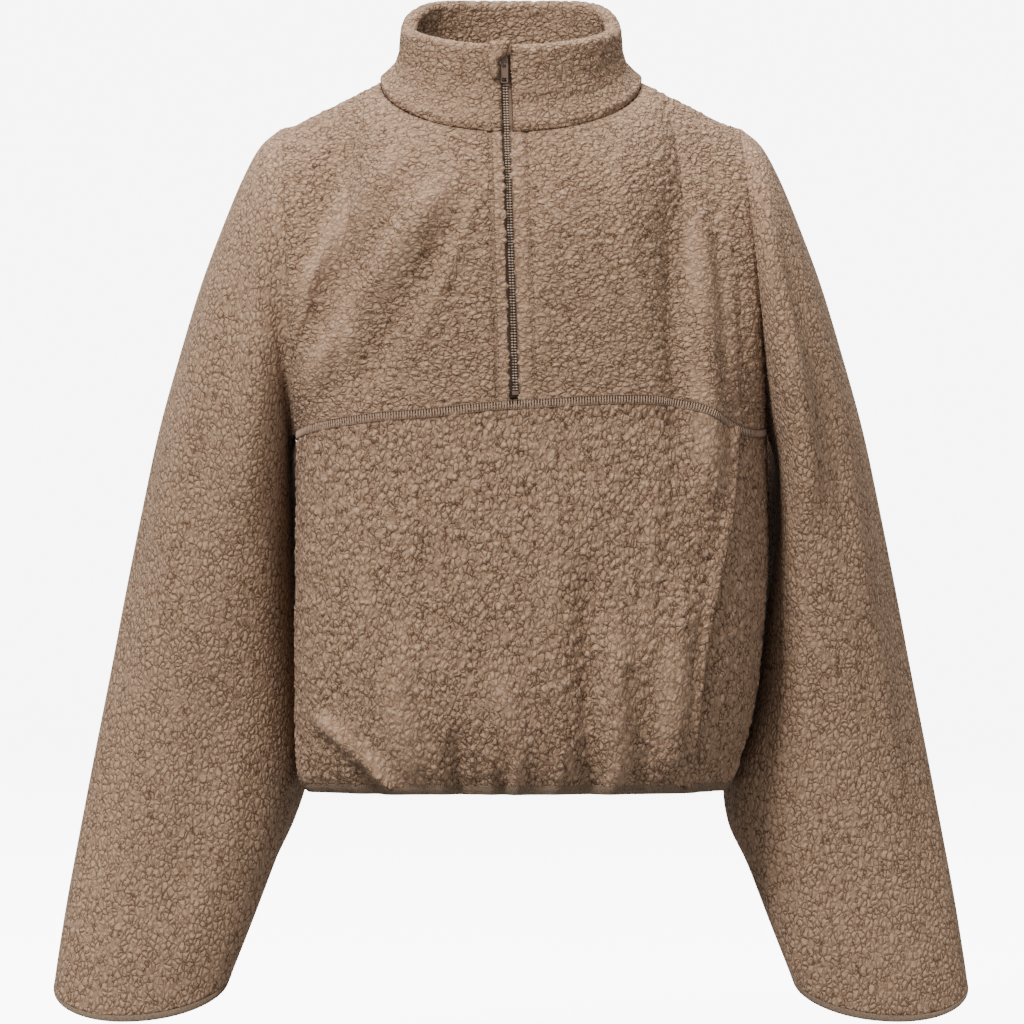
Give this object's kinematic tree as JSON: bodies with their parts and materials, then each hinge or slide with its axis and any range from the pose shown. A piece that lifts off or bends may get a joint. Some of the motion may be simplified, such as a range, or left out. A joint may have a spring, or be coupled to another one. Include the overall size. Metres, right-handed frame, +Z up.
{
  "type": "fleece zip top",
  "caption": "Oversized cropped fleece pullover with a chest seam, wide dropped sleeves, a doubled stand collar and a half zip, held in its worn shape with no wearer.",
  "frame": {"origin": "at the base of the neck between the wearer's shoulders, level with the neck seam's sides", "axes": "+Z up, the front looks along -Y, +X to the viewer's right as seen from the front"},
  "size_m": [0.7018, 0.2468, 0.7833],
  "materials": {
    "fleece": "curly pebbled pile, taupe brown",
    "binding": "narrow greyish brown binding",
    "zip_tape": "woven tape",
    "zip_coil": "closed coil",
    "enamel": "brown enamel"
  },
  "bodies": {
    "garment": {"back_lower": "fleece", "back_yoke": "fleece", "collar": "fleece", "cuff_band_left": "binding", "cuff_band_right": "binding", "front_lower": "fleece", "front_yoke_left": "fleece", "front_yoke_right": "fleece", "hem_band": "binding", "side_panel_left": "fleece", "side_panel_right": "fleece", "sleeve_left": "fleece", "sleeve_right": "fleece", "zip_bottom_stop": "enamel", "zip_chain": "zip_coil", "zip_garage": "fleece", "zip_slider": "enamel", "zip_tape_left": "zip_tape", "zip_tape_right": "zip_tape"},
    "pull_tab": {"pull_tab": "enamel"}
  },
  "joints": [
    {"name": "pull_tab_hinge", "type": "hinge", "parent": "garment", "child": "pull_tab", "pos_m": [-0.00496, -0.08054, 0.0089], "axis": [-1, 0, 0], "range_deg": [0, 120]}
  ]
}
